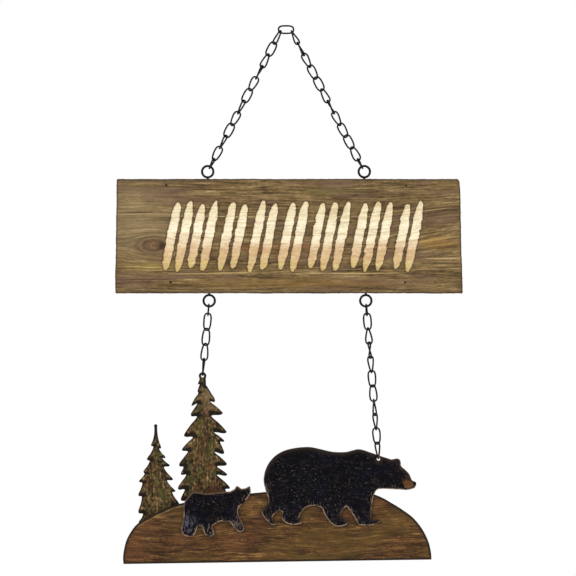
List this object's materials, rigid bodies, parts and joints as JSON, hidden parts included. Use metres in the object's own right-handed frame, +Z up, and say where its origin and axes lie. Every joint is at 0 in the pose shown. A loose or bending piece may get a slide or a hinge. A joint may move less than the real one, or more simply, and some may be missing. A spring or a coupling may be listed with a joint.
{
  "type": "hanging sign",
  "caption": "Rustic plank sign on a chain, with a cut-out scene of a hill, pines, a bear and its cub hung under it on chains.",
  "frame": {"origin": "where the top chain link lies over the hook that holds the sign up", "axes": "+X to the viewer's right, +Y from the front into the wall, +Z up"},
  "size_m": [0.348, 0.0176, 0.5388],
  "materials": {
    "plank": "weathered olive brown stain with cream painted strokes",
    "hill_stain": "matte brown stain with dark rubbed edges",
    "pine_stain": "matte olive brown stain with blackened branch tips",
    "bear_paint": "satin blue black paint, rubbed through at the edges",
    "dark_wire": "dark bronze plated steel wire"
  },
  "bodies": {
    "root": {"board": "plank", "screw_eye_top_left": "dark_wire", "screw_eye_top_right": "dark_wire", "screw_eye_bottom_left": "dark_wire", "screw_eye_bottom_right": "dark_wire", "hanging_link_top": "dark_wire", "hanging_link_left_01": "dark_wire", "hanging_link_left_02": "dark_wire", "hanging_link_left_03": "dark_wire", "hanging_link_left_04": "dark_wire", "hanging_link_left_05": "dark_wire", "hanging_link_left_06": "dark_wire", "hanging_link_left_07": "dark_wire", "hanging_link_left_08": "dark_wire", "hanging_link_left_09": "dark_wire", "hanging_link_left_10": "dark_wire", "hanging_link_left_11": "dark_wire", "hanging_link_left_12": "dark_wire", "hanging_link_right_01": "dark_wire", "hanging_link_right_02": "dark_wire", "hanging_link_right_03": "dark_wire", "hanging_link_right_04": "dark_wire", "hanging_link_right_05": "dark_wire", "hanging_link_right_06": "dark_wire", "hanging_link_right_07": "dark_wire", "hanging_link_right_08": "dark_wire", "hanging_link_right_09": "dark_wire", "hanging_link_right_10": "dark_wire", "hanging_link_right_11": "dark_wire", "hanging_link_right_12": "dark_wire", "drop_link_left_01": "dark_wire", "drop_link_left_02": "dark_wire", "drop_link_left_03": "dark_wire", "drop_link_left_04": "dark_wire", "drop_link_left_05": "dark_wire", "drop_link_right_01": "dark_wire", "drop_link_right_02": "dark_wire", "drop_link_right_03": "dark_wire", "drop_link_right_04": "dark_wire", "drop_link_right_05": "dark_wire", "drop_link_right_06": "dark_wire", "drop_link_right_07": "dark_wire", "drop_link_right_08": "dark_wire", "drop_link_right_09": "dark_wire", "drop_link_right_10": "dark_wire", "drop_link_right_11": "dark_wire", "hill": "hill_stain", "pine_large": "pine_stain", "pine_small": "pine_stain", "bear_adult": "bear_paint", "bear_cub": "bear_paint"}
  },
  "joints": []
}
